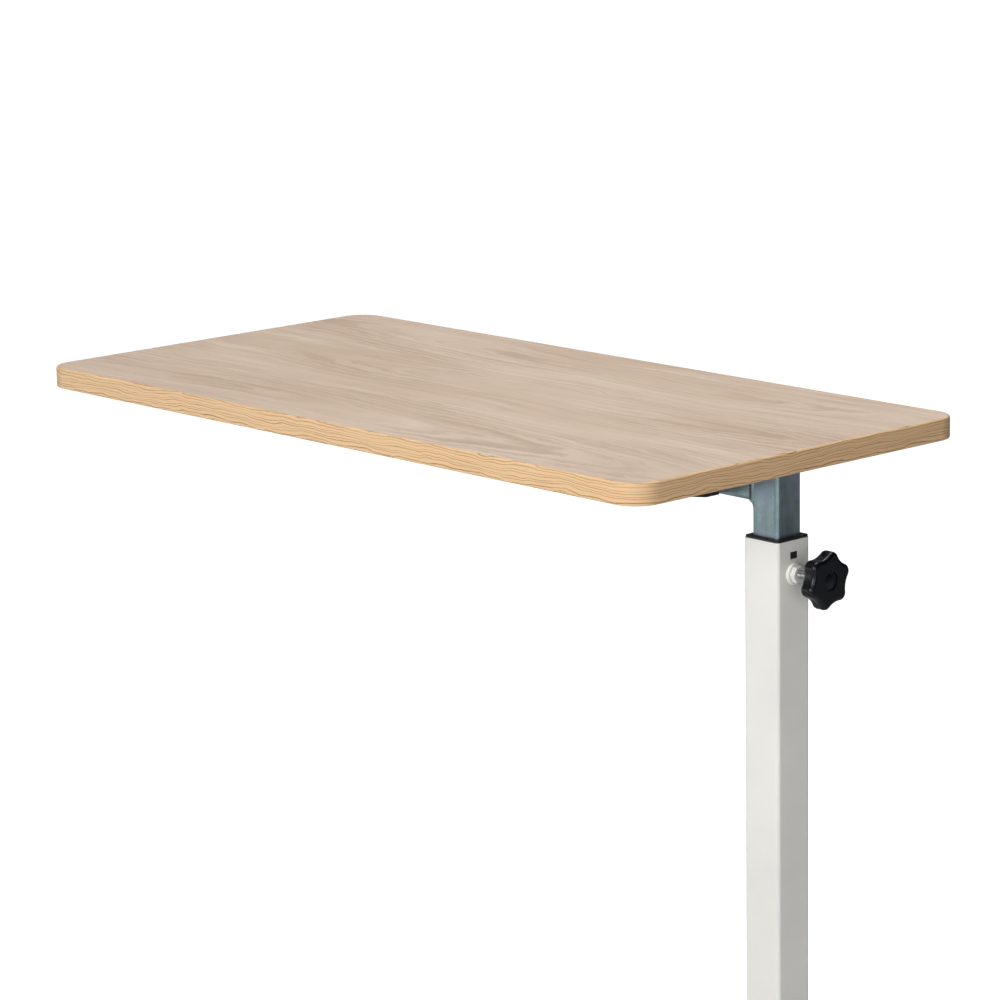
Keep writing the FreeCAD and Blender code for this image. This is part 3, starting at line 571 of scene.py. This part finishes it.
def camera():
    """The viewpoint: in front of the mast's corner, a little above the top."""
    ahead = Vector((math.sin(CAMERA_YAW) * math.cos(CAMERA_PITCH),
                    math.cos(CAMERA_YAW) * math.cos(CAMERA_PITCH), -math.sin(CAMERA_PITCH)))
    level_right = Vector((math.cos(CAMERA_YAW), -math.sin(CAMERA_YAW), 0))
    level_down = ahead.cross(level_right)
    right = math.cos(CAMERA_ROLL) * level_right + math.sin(CAMERA_ROLL) * level_down
    down = math.cos(CAMERA_ROLL) * level_down - math.sin(CAMERA_ROLL) * level_right
    data = bpy.data.cameras.new("camera")
    data.lens = CAMERA_LENS
    data.sensor_width = CAMERA_SENSOR
    data.clip_end = CAMERA_REACH
    eye = bpy.data.objects.new("camera", data)
    bpy.context.scene.collection.objects.link(eye)
    turn = Matrix((right, -down, -ahead)).transposed().to_4x4()
    eye.matrix_world = Matrix.Translation(Vector((TOP_HIGH.x, 0, UNDERSIDE_Z)) + CAMERA_FROM_EDGE) @ turn
    bpy.context.scene.camera = eye


def area_light(name, place, aim, size, watts):
    """A round soft light that points at a place."""
    data = bpy.data.lights.new(name, "AREA")
    data.shape = "DISK"
    data.size = size
    data.energy = watts
    lamp = bpy.data.objects.new(name, data)
    bpy.context.scene.collection.objects.link(lamp)
    lamp.location = place
    lamp.rotation_euler = (Vector(aim) - Vector(place)).to_track_quat("-Z", "Y").to_euler()


def floor():
    """A pale floor that shows white, with soft contact shade; seen from below it is clear."""
    g = Graph("floor")
    cloud = g.noise(g.place, 3.0, 2.0)
    g.surface(g.mix(cloud, srgb(206, 206, 206), srgb(202, 202, 203)), 0.8, specular_ior_level=0.1)
    seen = g.add("ShaderNodeLightPath").outputs["Is Camera Ray"]
    g.shader.inputs["Emission Color"].default_value = (1, 1, 1, 1)
    g.feed(g.shader.inputs["Emission Strength"], g.math("MULTIPLY", seen, FLOOR_LIFT))
    one_sided = g.add("ShaderNodeMixShader")
    g.feed(one_sided.inputs[0], g.add("ShaderNodeNewGeometry").outputs["Backfacing"])
    g.feed(one_sided.inputs[1], g.shader.outputs[0])
    g.feed(one_sided.inputs[2], g.add("ShaderNodeBsdfTransparent").outputs[0])
    g.feed(g.tree.nodes["Material Output"].inputs["Surface"], one_sided.outputs[0])
    mesh = bpy.data.meshes.new("floor")
    half = FLOOR_HALF
    corners = [(-half, -half, 0), (half, -half, 0), (half, half, 0), (-half, half, 0)]
    mesh.from_pydata(corners, [], [(0, 1, 2, 3)])
    mesh.materials.append(g.material)
    ground = bpy.data.objects.new("floor", mesh)
    bpy.context.scene.collection.objects.link(ground)


def surround():
    """Studio walls that light the table, bright on the key side and dim on the far side.

    The camera itself sees them plain white.
    """
    world = bpy.data.worlds.new("studio")
    world.use_nodes = True
    tree = world.node_tree
    place = tree.nodes.new("ShaderNodeTexCoord").outputs["Generated"]
    facing = tree.nodes.new("ShaderNodeVectorMath")
    facing.operation = "DOT_PRODUCT"
    facing.inputs[1].default_value = Vector(BRIGHT_SIDE).normalized()
    tree.links.new(place, facing.inputs[0])
    level = tree.nodes.new("ShaderNodeMapRange")
    tree.links.new(facing.outputs["Value"], level.inputs["Value"])
    for key, value in (("From Min", -0.5), ("From Max", 0.8), ("To Min", DIM), ("To Max", BRIGHT)):
        level.inputs[key].default_value = value
    seen = tree.nodes.new("ShaderNodeLightPath").outputs["Is Camera Ray"]
    strength = tree.nodes.new("ShaderNodeMix")
    tree.links.new(seen, strength.inputs["Factor"])
    tree.links.new(level.outputs[0], strength.inputs["A"])
    strength.inputs["B"].default_value = 1.0
    tree.links.new(strength.outputs["Result"], tree.nodes["Background"].inputs["Strength"])
    tree.nodes["Background"].inputs["Color"].default_value = (1, 1, 1, 1)
    bpy.context.scene.world = world


def studio():
    """The floor, the walls and four soft lights."""
    floor()
    surround()
    bpy.context.scene.view_settings.view_transform = "Standard"
    middle = (0.1, 0, 0.7)
    area_light("key", (1.1, -3.3, 1.7), middle, 1.8, KEY_WATTS)
    area_light("overhead", (0.0, 0.4, 3.4), middle, 2.4, TOP_WATTS)
    area_light("strip", (-2.6, -2.3, 0.55), middle, 1.3, STRIP_WATTS)
    area_light("fill", (3.6, -1.6, 1.0), middle, 1.6, FILL_WATTS)


dress_cad_nodes()
threaded_stud()
arm_beads()
nut_bead()
foot_beads()
weld_spatter()
camera()
studio()
